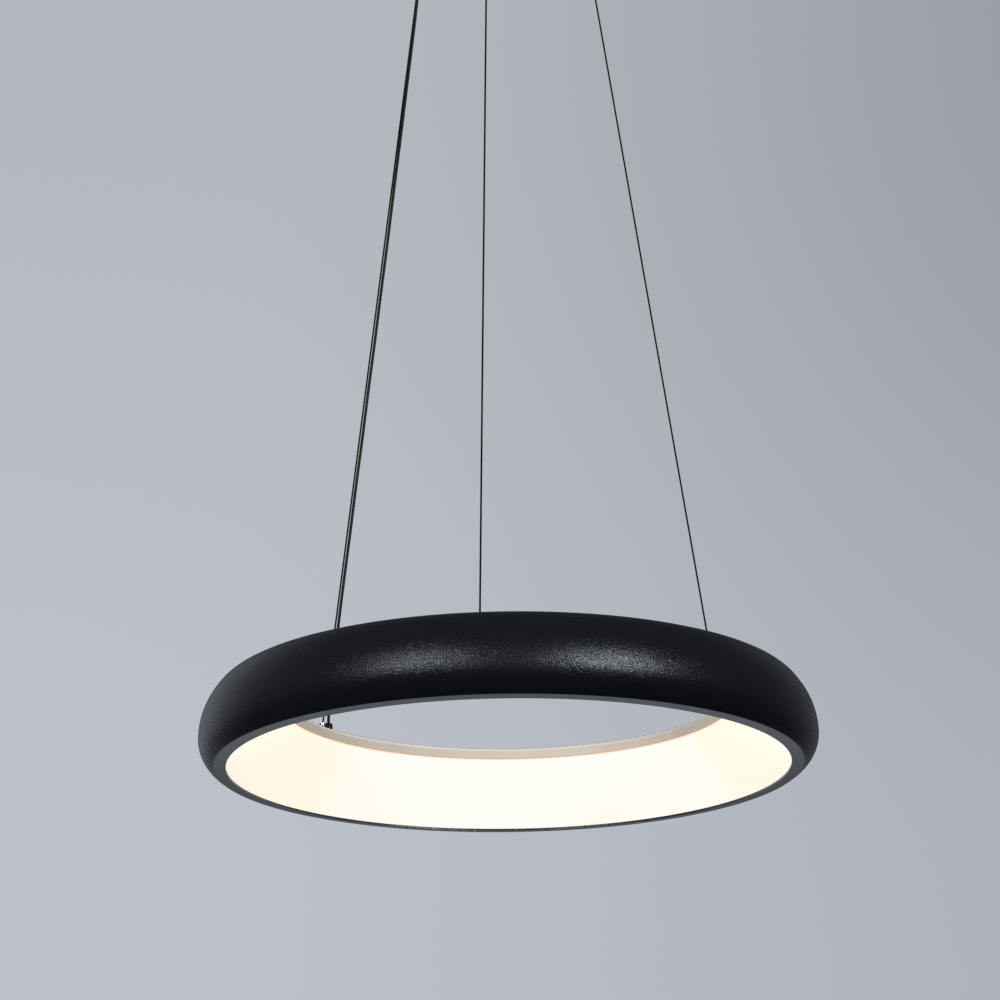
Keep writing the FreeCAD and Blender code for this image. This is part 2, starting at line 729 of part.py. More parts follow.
def anchor_fasteners():
    """Washer and nut on each anchor's stud, under the top frame."""
    washers = ring_body("anchor_washers")
    sketch = start_sketch(washers, "XY_Plane", "frame_under - washer_sheet")
    draw_circle(sketch, "anchor_circle", "0", "washer_radius")
    draw_circle(sketch, "anchor_circle", "0", "anchor_stud_radius + hole_gap")
    washer = pad(washers, sketch, "washer_sheet")
    repeat(washers, [washer], len(STATIONS))
    nuts = ring_body("anchor_nuts")
    first = nut(nuts, "anchor_circle", "frame_under - washer_sheet - anchor_nut_height",
                "anchor_nut_flats", "anchor_stud_radius + thread_gap", "anchor_nut_height")
    repeat(nuts, [first], len(STATIONS))


def cord_gland():
    """The barrel that takes the power cord into the ring, and its nut."""
    turn = f"({LEFT_TURN} - gland_turn)"
    gland = ring_body("cord_gland", turn)
    stud_low = "frame_top - gland_stud_length"
    top = "frame_top + gland_height"
    revolve(gland, [
        ("gland_bore", stud_low),
        ("gland_stud_radius", stud_low),
        ("gland_stud_radius", "frame_top"),
        ("gland_radius", "frame_top"),
        ("gland_radius", f"{top} - gland_chamfer"),
        ("gland_radius - gland_chamfer", top),
        ("gland_bore", top),
    ], about="gland_circle")
    gland_nut = ring_body("gland_nut", turn)
    nut(gland_nut, "gland_circle", "frame_under - gland_nut_height",
        "gland_nut_flats", "gland_stud_radius + thread_gap", "gland_nut_height")


def ring_terminal():
    """The block under the top frame that joins the cord to the strip's two leads."""
    turn = f"({LEFT_TURN} - gland_turn - terminal_turn)"
    body = ring_body("ring_terminal", turn)
    sketch = start_sketch(body, "XY_Plane", "terminal_middle - terminal_height / 2")
    draw_rectangle(sketch, "terminal_circle - terminal_width / 2", "terminal_circle + terminal_width / 2",
                   "-terminal_length / 2", "terminal_length / 2")
    pad(body, sketch, "terminal_height")
    place = FreeCAD.Placement(Vector(0, 0, -number_of("total_drop")),
                              FreeCAD.Rotation(Vector(0, 0, 1), number_of(f"ring_turn + {turn}")))
    gland_x = number_of("gland_circle * cos(terminal_turn)")
    gland_y = number_of("gland_circle * sin(terminal_turn)")
    gland_low = number_of("frame_top - gland_stud_length")
    middle = number_of("terminal_middle")
    circle = number_of("terminal_circle")
    face_y = number_of("terminal_length / 2 + glue_gap")
    tube("inner_lead", [
        (gland_x, gland_y, gland_low - 0.2),
        (gland_x, gland_y, gland_low - 10),
        (gland_x - 1, gland_y - 12, gland_low - 11),
        (circle, face_y + 10, middle),
        (circle, face_y, middle),
    ], number_of("cord_radius"), place)
    face_x = number_of("terminal_circle + terminal_width / 2 + glue_gap")
    lead_radius = number_of("strip_lead_radius")
    strip_top = number_of("strip_height + strip_width / 2")
    strip_x = number_of("strip_face") - lead_radius / 2
    knee_x = number_of("reflector_knee")
    knee_z = number_of("reflector_top")
    pair = []
    for side in (-1, 1):
        pair.append(tube(f"strip_lead_{side}", [
            (face_x, side * 3, middle),
            (face_x + 9, side * 4, middle - 1),
            (knee_x, side * 6, knee_z - 9),
            (knee_x + 17, side * 9, knee_z - 25),
            (strip_x - 0.2, side * 10, strip_top + 14),
            (strip_x - 0.2, side * 10, strip_top + 0.3),
        ], lead_radius, place))
    both = doc.addObject("Part::Feature", "strip_leads")
    both.Label = "strip_leads"
    both.Shape = Part.makeCompound([lead.Shape for lead in pair])
    for lead in pair:
        doc.removeObject(lead.Name)


def wires():
    """The three free steel wires, from the grippers down to the anchors' mouths."""
    for station, thirds in STATIONS.items():
        turn = f"(ring_turn + {thirds} * 360 / {len(STATIONS)})"
        body = start_body(f"wire_{station}", f"gripper_circle * cos{turn}", f"gripper_circle * sin{turn}",
                          "pivot_z", turn, "wire_lean")
        sketch = start_sketch(body, "XY_Plane")
        draw_circle(sketch, "0", "0", "wire_radius")
        pad(body, sketch, "wire_length", down=True)


def ceiling_plate():
    """The round tray screwed to the ceiling, which carries the cup on three side screws."""
    body = start_body("ceiling_plate")
    rim_inner = "plate_radius - plate_rim_wall"
    revolve(body, [
        ("0", "-plate_sheet"),
        (rim_inner, "-plate_sheet"),
        (rim_inner, "-plate_rim_height"),
        ("plate_radius", "-plate_rim_height"),
        ("plate_radius", "0"),
        ("0", "0"),
    ])
    side = start_sketch(body, "YZ_Plane")
    draw_circle(side, "0", "-side_screw_depth", "side_screw_radius + thread_gap")
    side_hole = cut(body, side, "canopy_radius", up=True)
    repeat(body, [side_hole], "side_screw_count")
    holes = start_sketch(body, "XY_Plane")
    for sign in ("-", ""):
        draw_circle(holes, f"{sign}ceiling_screw_spacing / 2", "0", "ceiling_screw_hole")
        draw_circle(holes, f"{sign}driver_screw_x", "driver_y", "screw_radius + thread_gap")
        draw_circle(holes, f"{sign}mains_screw_spacing / 2", "mains_terminal_y", "screw_radius + thread_gap")
    draw_circle(holes, "0", "entry_y", "entry_radius")
    draw_circle(holes, "earth_screw_x", "earth_screw_y", "earth_screw_radius + thread_gap")
    cut(body, holes, "plate_sheet")


def canopy_cup():
    """The cup that hides the wiring, with holes for the grippers, the cord grip and side screws."""
    body = start_body("canopy_cup")
    corner = "canopy_radius - cup_corner"
    revolve(body, [
        ("0", "-canopy_height"),
        (corner, "-canopy_height", "cup_corner", "left"),
        ("canopy_radius", "cup_corner - canopy_height"),
        ("canopy_radius", "-rim_gap"),
        ("cup_inner", "-rim_gap"),
        ("cup_inner", "cup_corner - canopy_height", "cup_corner - cup_wall", "right"),
        (corner, "cup_wall - canopy_height"),
        ("0", "cup_wall - canopy_height"),
    ])
    side = start_sketch(body, "YZ_Plane")
    draw_circle(side, "0", "-side_screw_depth", "side_screw_radius + hole_gap")
    side_hole = cut(body, side, "canopy_radius + cup_wall", up=True)
    repeat(body, [side_hole], "side_screw_count")
    gripper = round_hole(body, "gripper_circle * cos(ring_turn)", "gripper_circle * sin(ring_turn)",
                         "-canopy_height", "gripper_stud_radius + hole_gap", "2 * cup_wall", up=True)
    repeat(body, [gripper], len(STATIONS))
    grip_turn = f"(ring_turn + {LEFT_TURN} + cord_grip_turn)"
    round_hole(body, f"cord_grip_circle * cos{grip_turn}", f"cord_grip_circle * sin{grip_turn}",
               "-canopy_height", "cord_grip_stud_radius + hole_gap", "2 * cup_wall", up=True)


def cup_screws():
    """Three screws through the cup's side into the plate's rim."""
    body = start_body("cup_screws")
    sketch = start_sketch(body, "XZ_Plane")
    axis_z = "-side_screw_depth"
    head_x = "canopy_radius + side_screw_head_height"
    draw_loop(sketch, [
        ("canopy_radius - side_screw_length", axis_z),
        (head_x, axis_z),
        (head_x, f"{axis_z} + side_screw_head_radius - side_screw_head_height / 2"),
        ("canopy_radius + side_screw_head_height / 2", f"{axis_z} + side_screw_head_radius"),
        ("canopy_radius", f"{axis_z} + side_screw_head_radius"),
        ("canopy_radius", f"{axis_z} + side_screw_radius"),
        ("canopy_radius - side_screw_length", f"{axis_z} + side_screw_radius"),
    ])
    draw_axis(sketch, ("0", axis_z), ("canopy_radius", axis_z))
    screw = body.newObject("PartDesign::Revolution", "cup_screws_turned")
    screw.Profile = sketch
    screw.ReferenceAxis = (sketch, ["Axis0"])
    screw.Angle = 360
    face = start_sketch(body, "YZ_Plane", head_x)
    draw_hexagon(face, "0", axis_z, "side_screw_socket_flats")
    socket = cut(body, face, "side_screw_socket_depth")
    repeat(body, [screw, socket], "side_screw_count")


def grippers():
    """Spring loaded wire grippers: body, cap, release sleeve, three balls and a spring each."""
    for station, thirds in STATIONS.items():
        turn = f"{thirds} * 360 / {len(STATIONS)}"
        angle = f"(ring_turn + {turn})"
        place = (f"gripper_circle * cos{angle}", f"gripper_circle * sin{angle}", "-canopy_height", angle)
        housing = start_body(f"gripper_body_{station}", *place)
        revolve(housing, [
            ("body_bore", "-gripper_flange_height"),
            ("gripper_flange_radius - gripper_chamfer", "-gripper_flange_height"),
            ("gripper_flange_radius", "gripper_chamfer - gripper_flange_height"),
            ("gripper_flange_radius", "0"),
            ("gripper_stud_radius", "0"),
            ("gripper_stud_radius", "gripper_stud_height"),
            ("gripper_chamber_radius", "gripper_stud_height"),
            ("gripper_chamber_radius", "gripper_cone_high"),
            ("body_bore", "gripper_cone_low"),
        ])
        cap = start_body(f"gripper_cap_{station}", *place)
        plug_low = "gripper_stud_height - cap_plug_depth"
        plug_radius = "gripper_chamber_radius - cap_plug_gap"
        cap_hole = "wire_radius + cap_hole_gap"
        revolve(cap, [
            (cap_hole, plug_low),
            (plug_radius, plug_low),
            (plug_radius, "gripper_stud_height"),
            ("gripper_stud_radius", "gripper_stud_height"),
            ("gripper_stud_radius", "gripper_stud_height + cap_sheet"),
            (cap_hole, "gripper_stud_height + cap_sheet"),
        ])
        sleeve = start_body(f"release_sleeve_{station}", *place)
        collar_top = "sleeve_neck_top + collar_sheet"
        revolve(sleeve, [
            ("nozzle_mouth", "-nozzle_low"),
            ("nozzle_radius", "-nozzle_low"),
            ("nozzle_radius", "-nozzle_high"),
            ("sleeve_neck_radius", "-nozzle_high"),
            ("sleeve_neck_radius", "sleeve_neck_top"),
            ("collar_radius", "sleeve_neck_top"),
            ("collar_radius", collar_top),
            ("sleeve_bore", collar_top),
            ("sleeve_bore", "-nozzle_high"),
        ])
        side = start_sketch(sleeve, "YZ_Plane")
        draw_circle(side, "0", "grip_ball_height", "grip_ball_radius + grip_ball_hole_gap")
        ball_hole = cut(sleeve, side, "collar_radius", up=True)
        repeat(sleeve, [ball_hole], len(STATIONS))
        balls = start_body(f"gripper_balls_{station}", *place)
        ball = revolve(balls, [
            ("0", "grip_ball_height - grip_ball_radius", "grip_ball_radius", "left"),
            ("grip_ball_radius", "grip_ball_height", "grip_ball_radius", "left"),
            ("0", "grip_ball_height + grip_ball_radius"),
        ], about="grip_ball_circle")
        repeat(balls, [ball], len(STATIONS))
        spring = start_body(f"gripper_spring_{station}", *place)
        section = start_sketch(spring, "XZ_Plane")
        draw_circle(section, "spring_radius", "spring_low + spring_wire / 2", "spring_wire / 2")
        coil = spring.newObject("PartDesign::AdditiveHelix", f"{spring.Name}_coil")
        coil.Profile = section
        coil.ReferenceAxis = (section, ["V_Axis"])
        coil.Mode = "height-turns-growth"
        coil.setExpression("Height", sized("spring_high - spring_low - spring_wire"))
        coil.setExpression("Turns", sized("spring_turns"))
    nuts = canopy_body("gripper_nuts", "0")
    first = nut(nuts, "gripper_circle", "cup_wall", "gripper_nut_flats",
                "gripper_stud_radius + thread_gap", "gripper_nut_height")
    repeat(nuts, [first], len(STATIONS))
    tails = canopy_body("wire_tails", "0")
    sketch = start_sketch(tails, "XY_Plane", "pivot_gap - pivot_depth")
    draw_circle(sketch, "gripper_circle", "0", "wire_radius")
    tail = pad(tails, sketch, "canopy_height + pivot_depth - pivot_gap - tail_top")
    repeat(tails, [tail], len(STATIONS))


def canopy_cord_grip():
    """The grip in the cup's floor that the power cord hangs from, and its nut."""
    turn = f"({LEFT_TURN} + cord_grip_turn)"
    grip = canopy_body("canopy_cord_grip", turn)
    nose = "-cord_grip_nose"
    shoulder = "-cord_grip_shoulder"
    revolve(grip, [
        ("cord_grip_bore", nose),
        ("cord_grip_nose_radius", nose),
        ("cord_grip_shoulder_radius", shoulder),
        ("cord_grip_flange_radius", "-cord_grip_flange_height"),
        ("cord_grip_flange_radius", "0"),
        ("cord_grip_stud_radius", "0"),
        ("cord_grip_stud_radius", "cord_grip_stud_height"),
        ("cord_grip_bore", "cord_grip_stud_height"),
    ], about="cord_grip_circle")
    grip_nut = canopy_body("cord_grip_nut", turn)
    nut(grip_nut, "cord_grip_circle", "cup_wall", "gripper_nut_flats",
        "cord_grip_stud_radius + thread_gap", "gripper_nut_height")


def plate_screws(name, x, y, head_z, radius, head_radius, head_height, both_sides):
    """Screws that point up into the ceiling plate, at x or at both -x and x."""
    body = start_body(name, y=y)
    for about in (f"-({x})", x) if both_sides else (x,):
        revolve(body, [
            ("0", f"{head_z} - {head_height}"),
            (f"{head_radius} - {head_height} / 2", f"{head_z} - {head_height}"),
            (head_radius, f"{head_z} - {head_height} / 2"),
            (head_radius, head_z),
            (radius, head_z),
            (radius, "-hole_gap"),
            ("0", "-hole_gap"),
        ], about=about)


def driver():
    """The driver's case on the ceiling plate, with an ear and a screw at each end."""
    case = start_body("driver_case", y="driver_y")
    sketch = start_sketch(case, "XY_Plane", "-plate_sheet")
    x, y, corner = "driver_length / 2", "driver_width / 2", "driver_corner"
    draw_loop(sketch, [
        (f"{corner} - {x}", f"-{y}"),
        (f"{x} - {corner}", f"-{y}", corner, "left"),
        (x, f"{corner} - {y}"),
        (x, f"{y} - {corner}", corner, "left"),
        (f"{x} - {corner}", y),
        (f"{corner} - {x}", y, corner, "left"),
        (f"-{x}", f"{y} - {corner}"),
        (f"-{x}", f"{corner} - {y}", corner, "left"),
    ])
    pad(case, sketch, "driver_height", down=True)
    ears = start_sketch(case, "XY_Plane", "-plate_sheet")
    reach = "driver_end + driver_ear_length"
    draw_rectangle(ears, f"-({reach})", reach, "-driver_ear_width / 2", "driver_ear_width / 2")
    pad(case, ears, "driver_ear_sheet", down=True)
    holes = start_sketch(case, "XY_Plane", "-plate_sheet")
    draw_circle(holes, "-(driver_screw_x)", "0", "screw_radius + hole_gap")
    draw_circle(holes, "driver_screw_x", "0", "screw_radius + hole_gap")
    cut(case, holes, "2 * driver_ear_sheet")
    plate_screws("driver_screws", "driver_screw_x", "driver_y", "-plate_sheet - driver_ear_sheet",
                 "screw_radius", "screw_head_radius", "screw_head_height", True)


def mains_terminal():
    """The block that takes the house cable, its screws, the earth screw and the entry grommet."""
    block = start_body("mains_terminal", y="mains_terminal_y")
    sketch = start_sketch(block, "XY_Plane", "-plate_sheet")
    draw_rectangle(sketch, "-mains_terminal_length / 2", "mains_terminal_length / 2",
                   "-mains_terminal_width / 2", "mains_terminal_width / 2")
    pad(block, sketch, "mains_terminal_height", down=True)
    holes = start_sketch(block, "XY_Plane", "-plate_sheet")
    draw_circle(holes, "-mains_screw_spacing / 2", "0", "screw_radius + hole_gap")
    draw_circle(holes, "mains_screw_spacing / 2", "0", "screw_radius + hole_gap")
    cut(block, holes, "2 * mains_terminal_height")
    plate_screws("terminal_screws", "mains_screw_spacing / 2", "mains_terminal_y",
                 "-plate_sheet - mains_terminal_height",
                 "screw_radius", "screw_head_radius", "screw_head_height", True)
    plate_screws("earth_screw", "earth_screw_x", "earth_screw_y", "-plate_sheet",
                 "earth_screw_radius", "earth_head_radius", "earth_head_height", False)
    grommet = start_body("mains_grommet", y="entry_y")
    barrel = "entry_radius - glue_gap"
    revolve(grommet, [
        ("grommet_bore", "-plate_sheet - grommet_sheet"),
        ("grommet_flange", "-plate_sheet - grommet_sheet"),
        ("grommet_flange", "-plate_sheet"),
        (barrel, "-plate_sheet"),
        (barrel, "-hole_gap"),
        ("grommet_bore", "-hole_gap"),
    ])


def canopy_leads():
    """The driver's two leads inside the cup."""
    end_x = number_of("driver_end + glue_gap")
    driver_y = number_of("driver_y")
    exit_z = -number_of("driver_lead_depth")
    grip_turn = math.radians(number_of(f"ring_turn + {LEFT_TURN} + cord_grip_turn"))
    grip_x = number_of("cord_grip_circle") * math.cos(grip_turn)
    grip_y = number_of("cord_grip_circle") * math.sin(grip_turn)
    cord_end = -number_of("canopy_height + cord_top") + number_of("seat_gap")
    radius = number_of("cord_radius")
    tube("driver_output_lead", [
        (-end_x, driver_y, exit_z),
        (-end_x - 12, driver_y, exit_z),
        (-end_x - 14, driver_y + 22, exit_z + 2),
        (grip_x - 16, grip_y - 19, exit_z + 5),
        (grip_x - 3, grip_y - 4, exit_z + 3),
        (grip_x, grip_y, exit_z - 12),
        (grip_x, grip_y, cord_end),
    ], radius, FreeCAD.Placement())
    terminal_x = number_of("mains_terminal_length / 4")
    terminal_face = number_of("mains_terminal_y - mains_terminal_width / 2 - glue_gap")
    terminal_z = -number_of("mains_lead_depth")
    tube("driver_input_lead", [
        (end_x, driver_y, exit_z),
        (end_x + 12, driver_y, exit_z),
        (end_x + 13, driver_y + 20, exit_z),
        (end_x - 4, driver_y + 37, exit_z),
        (end_x - 35, driver_y + 52, exit_z),
        (terminal_x + 10, terminal_face - 23, terminal_z - 2),
        (terminal_x, terminal_face - 10, terminal_z),
        (terminal_x, terminal_face, terminal_z),
    ], radius, FreeCAD.Placement())


def build():
    """Make every piece, check it and write it to its own file."""
    for make in (outer_shell, top_frame, diffuser, led_carrier, led_strip, led_chips, reflector,
                 carrier_spacers, frame_screws, wire_anchors, wire_ends, anchor_fasteners, cord_gland,
                 ring_terminal, wires, ceiling_plate, canopy_cup, cup_screws, grippers, canopy_cord_grip,
                 driver, mains_terminal, canopy_leads):
        make()
    tube("power_cord", POWER_CORD_ROUTE, number_of("cord_radius"), FreeCAD.Placement())
    doc.recompute()
    for item in doc.Objects:
        if "Invalid" in item.State or "Error" in item.State:
            raise ValueError(f"{item.Name} failed: {item.State}")
        if item.TypeId == "PartDesign::Pocket" and item.BaseFeature.Shape.Volume - item.Shape.Volume < 1e-3:
            raise ValueError(f"{item.Name} cuts nothing")
    pieces = [item for item in doc.Objects if item.TypeId in ("PartDesign::Body", "Part::Feature")]
    for piece in pieces:
        if piece.Shape.isNull() or not piece.Shape.isValid() or not piece.Shape.Solids:
            raise ValueError(f"{piece.Label} has no good shape")
    os.makedirs("parts", exist_ok=True)
    for piece in pieces:
        piece.Shape.exportStep(f"parts/{piece.Label}.step")
    print(len(pieces), "pieces written")


build()
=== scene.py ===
import bpy
import json
import math
from mathutils import Matrix, Vector


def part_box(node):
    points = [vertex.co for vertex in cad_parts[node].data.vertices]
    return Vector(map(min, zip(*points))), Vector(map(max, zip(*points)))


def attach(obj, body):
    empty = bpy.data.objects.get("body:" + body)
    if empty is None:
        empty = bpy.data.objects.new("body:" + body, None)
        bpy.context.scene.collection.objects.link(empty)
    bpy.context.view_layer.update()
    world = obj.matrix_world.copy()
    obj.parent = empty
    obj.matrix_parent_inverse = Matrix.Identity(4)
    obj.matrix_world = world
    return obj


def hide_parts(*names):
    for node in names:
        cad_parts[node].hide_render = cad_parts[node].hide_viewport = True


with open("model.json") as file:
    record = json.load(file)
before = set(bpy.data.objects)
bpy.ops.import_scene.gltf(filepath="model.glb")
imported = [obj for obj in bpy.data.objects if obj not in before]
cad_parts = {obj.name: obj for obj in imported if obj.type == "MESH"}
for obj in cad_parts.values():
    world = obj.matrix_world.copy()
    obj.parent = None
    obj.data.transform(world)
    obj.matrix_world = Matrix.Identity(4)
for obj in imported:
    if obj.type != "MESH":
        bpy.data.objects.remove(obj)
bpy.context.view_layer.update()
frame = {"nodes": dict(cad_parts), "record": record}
nodes = frame["nodes"]
stations = dict(front=0, right=120, left=-120)  # each wire's turn round the lamp, in degrees
bpy.ops.object.select_all(action="DESELECT")
bpy.context.scene.view_settings.view_transform = "Standard"
print("frame loaded")


# camera, below the ring and looking up past it; angles in degrees
cameraSetup = dict(spot=(0, -2.882, -1.668), pitch=18.54, roll=-0.67, yaw=-0.11,
                   lens=108, sensor=36, nearest=0.05, furthest=200)


def addCamera(setup):
    data = bpy.data.cameras.new("viewCamera")
    data.lens = setup["lens"]
    data.sensor_width = setup["sensor"]
    data.clip_start = setup["nearest"]
    data.clip_end = setup["furthest"]
    camera = bpy.data.objects.new("viewCamera", data)
    bpy.context.scene.collection.objects.link(camera)
    turn = Matrix.Rotation(math.radians(-setup["yaw"]), 4, "Z")
    tilt = Matrix.Rotation(math.radians(90 + setup["pitch"]), 4, "X")
    lean = Matrix.Rotation(math.radians(setup["roll"]), 4, "Z")
    camera.matrix_world = Matrix.Translation(setup["spot"]) @ turn @ tilt @ lean
    bpy.context.scene.camera = camera


addCamera(cameraSetup)
print("camera placed")


# power cord, beside the left wire from the canopy to the gland on the ring
powerCord = dict(
    radius=0.0015, length=0.868, exit=(-0.0867, 0.0452, -0.054), order=3, steps=16, roundness=6,
    route=[
        (-0.0867, 0.0452, -0.050),
        (-0.0867, 0.0452, -0.074),
        (-0.0896, 0.0540, -0.106),
        (-0.0953, 0.0625, -0.152),
        (-0.1022, 0.0698, -0.206),
        (-0.1090, 0.0764, -0.262),
        (-0.1162, 0.0826, -0.318),
        (-0.1230, 0.0892, -0.374),
        (-0.1302, 0.0946, -0.430),
        (-0.1371, 0.1002, -0.486),
        (-0.1442, 0.1050, -0.540),
        (-0.1505, 0.1102, -0.592),
        (-0.1574, 0.1147, -0.644),
        (-0.1637, 0.1199, -0.696),
        (-0.1700, 0.1241, -0.744),
        (-0.1757, 0.1288, -0.790),
        (-0.1806, 0.1342, -0.832),
        (-0.1832, 0.1405, -0.856),
        (-0.1873, 0.1533, -0.880),
        (-0.1873, 0.1533, -0.903),
    ],
)


def addPowerCord(cord):
    line = bpy.data.curves.new("powerCordLine", "CURVE")
    line.dimensions = "3D"
    spline = line.splines.new("NURBS")
    spline.points.add(len(cord["route"]) - 1)
    for point, spot in zip(spline.points, cord["route"]):
        point.co = (*spot, 1)
        point.radius = cord["radius"]
    spline.order_u = cord["order"]
    spline.use_endpoint_u = True
    line.resolution_u = cord["steps"]
    line.bevel_depth = 1  # times each point's radius
    line.bevel_resolution = cord["roundness"]
    line.use_fill_caps = True
    piece = bpy.data.objects.new("powerCordSheath", line)
    bpy.context.scene.collection.objects.link(piece)
    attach(piece, "wire_left")
    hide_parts("power_cord")
    return piece


newPieces = {"cord_sheath": [addPowerCord(powerCord)]}  # new pieces by the finish that each gets
print("power cord made")


# turned pieces: a ring of edges is pulled out, up and back in, then closed along its bore
ringSegments = 48
edgeSetup = dict(bevelSteps=2, bevelAngle=math.radians(35), smoothAngle=math.radians(32))
fluteSetup = dict(edge=0.00004, margin=0.0002)  # a flute's rim, and how far in its face may lie


def turnPiece(name, centre, corners):
    startRadius, startHeight = corners[0]
    bpy.ops.object.select_all(action="DESELECT")
    bpy.ops.mesh.primitive_circle_add(vertices=ringSegments, radius=startRadius, fill_type="NOTHING",
                                      location=(*centre, startHeight))
    piece = bpy.context.object
    piece.name = name
    bpy.ops.object.mode_set(mode="EDIT")
    bpy.ops.mesh.select_mode(type="VERT")
    bpy.ops.mesh.select_all(action="SELECT")
    for (radius, height), (nextRadius, nextHeight) in zip(corners, corners[1:]):
        bpy.ops.mesh.extrude_region_move(TRANSFORM_OT_translate=dict(value=(0, 0, nextHeight - height)))
        grow = nextRadius / radius
        bpy.ops.transform.resize(value=(grow, grow, 1), center_override=(*centre, nextHeight))
    bpy.ops.mesh.select_all(action="DESELECT")
    bpy.ops.mesh.select_non_manifold()
    bpy.ops.mesh.bridge_edge_loops()
    bpy.ops.mesh.select_all(action="SELECT")
    bpy.ops.mesh.normals_make_consistent(inside=False)
    bpy.ops.object.mode_set(mode="OBJECT")
    return piece


def pickFaces(piece, wanted):
    bpy.ops.object.mode_set(mode="EDIT")
    bpy.ops.mesh.select_mode(type="FACE")
    bpy.ops.mesh.select_all(action="DESELECT")
    bpy.ops.object.mode_set(mode="OBJECT")
    place = piece.matrix_world
    for face in piece.data.polygons:
        face.select = wanted(place @ face.center)
    bpy.ops.object.mode_set(mode="EDIT")


def cutFlutes(piece, centre, s):  # every other face round the barrel is sunk
    def onFlute(spot):
        across, along = spot.x - centre[0], spot.y - centre[1]
        step = math.floor(math.atan2(along, across) / (2 * math.pi) * ringSegments)
        outer = math.hypot(across, along) > s["radius"] - fluteSetup["margin"]
        return outer and s["fluteLow"] < spot.z < s["fluteHigh"] and step % 2 == 0
    pickFaces(piece, onFlute)
    bpy.ops.mesh.inset(thickness=fluteSetup["edge"], depth=-s["fluteDepth"], use_individual=True)
    bpy.ops.object.mode_set(mode="OBJECT")


def finishPiece(piece, bevel, body, cadNode, slot):
    if bevel:
        soft = piece.modifiers.new("softEdges", "BEVEL")
        soft.width = bevel
        soft.segments = edgeSetup["bevelSteps"]
        soft.limit_method = "ANGLE"
        soft.angle_limit = edgeSetup["bevelAngle"]
        bpy.ops.object.modifier_apply(modifier="softEdges")
    bpy.ops.object.transform_apply(location=True, rotation=True, scale=True)
    bpy.ops.object.shade_smooth_by_angle(angle=edgeSetup["smoothAngle"])
    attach(piece, body)
    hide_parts(cadNode)
    newPieces.setdefault(slot, []).append(piece)
    piece.select_set(False)


def middleOf(cadNode):
    low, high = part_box(cadNode)
    return (low.x + high.x) / 2, (low.y + high.y) / 2


# wire anchors on the ring; neck and groove heights are above the foot
anchorSizes = dict(foot=-0.9055, studLow=-0.9145, top=-0.8960, ballRoom=0.0018, studRadius=0.0025,
                   radius=0.0033, mouth=0.0025, neck=0.00105, neckLow=0.003, neckHigh=0.005,
                   rimIn=0.0004, rimDown=0.0006, grooveLow=0.0032, grooveWidth=0.0007,
                   grooveDepth=0.0003, grooveSlope=0.0001, bevel=0.00015)


def addAnchor(station, s):
    grooveLow = s["foot"] + s["grooveLow"]
    grooveHigh = grooveLow + s["grooveWidth"]
    inner = s["radius"] - s["grooveDepth"]
    neckLow = s["foot"] + s["neckLow"]
    neckHigh = s["foot"] + s["neckHigh"]
    piece = turnPiece(f"wireAnchor_{station}", middleOf(f"wire_anchor_{station}"), [
        (s["ballRoom"], s["studLow"]),
        (s["studRadius"], s["studLow"]),
        (s["studRadius"], s["foot"]),
        (s["radius"], s["foot"]),
        (s["radius"], grooveLow),
        (inner, grooveLow + s["grooveSlope"]),
        (inner, grooveHigh),
        (s["radius"], grooveHigh + s["grooveSlope"]),
        (s["radius"], s["top"] - s["rimDown"]),
        (s["radius"] - s["rimIn"], s["top"]),
        (s["mouth"], s["top"]),
        (s["mouth"], neckHigh),
        (s["neck"], neckHigh),
        (s["neck"], neckLow),
        (s["ballRoom"], neckLow),
    ])
    finishPiece(piece, s["bevel"], "ring", f"wire_anchor_{station}", "nickel")


for station in stations:
    addAnchor(station, anchorSizes)
print("wire anchors made")


# cord gland on the ring, its barrel fluted for the fingers
glandSizes = dict(foot=-0.9055, studLow=-0.9145, top=-0.8935, bore=0.00185, studRadius=0.00275, radius=0.0044,
                  shoulderDown=0.0014, shoulderIn=0.0004, rimDown=0.0006, rimIn=0.0010,
                  fluteLow=-0.9042, fluteHigh=-0.8978, fluteDepth=0.00025)


def addGland(s):
    centre = middleOf("cord_gland")
    piece = turnPiece("cordGlandBarrel", centre, [
        (s["bore"], s["studLow"]),
        (s["studRadius"], s["studLow"]),
        (s["studRadius"], s["foot"]),
        (s["radius"], s["foot"]),
        (s["radius"], s["fluteLow"]),
        (s["radius"], s["fluteHigh"]),
        (s["radius"], s["top"] - s["shoulderDown"]),
        (s["radius"] - s["shoulderIn"], s["top"] - s["rimDown"]),
        (s["radius"] - s["rimIn"], s["top"]),
        (s["bore"], s["top"]),
    ])
    cutFlutes(piece, centre, s)
    finishPiece(piece, None, "ring", "cord_gland", "black_fitting")


addGland(glandSizes)
print("cord gland made")


# release sleeves under the canopy, with fluted nozzles
sleeveSizes = dict(low=-0.0555, nozzleTop=-0.0500, top=-0.0343, collarLow=-0.0355,
                   mouth=0.0022, radius=0.0036, neck=0.00225, collar=0.0028, bore=0.0012,
                   chamfer=0.0004, fluteLow=-0.0547, fluteHigh=-0.0509, fluteDepth=0.00028)


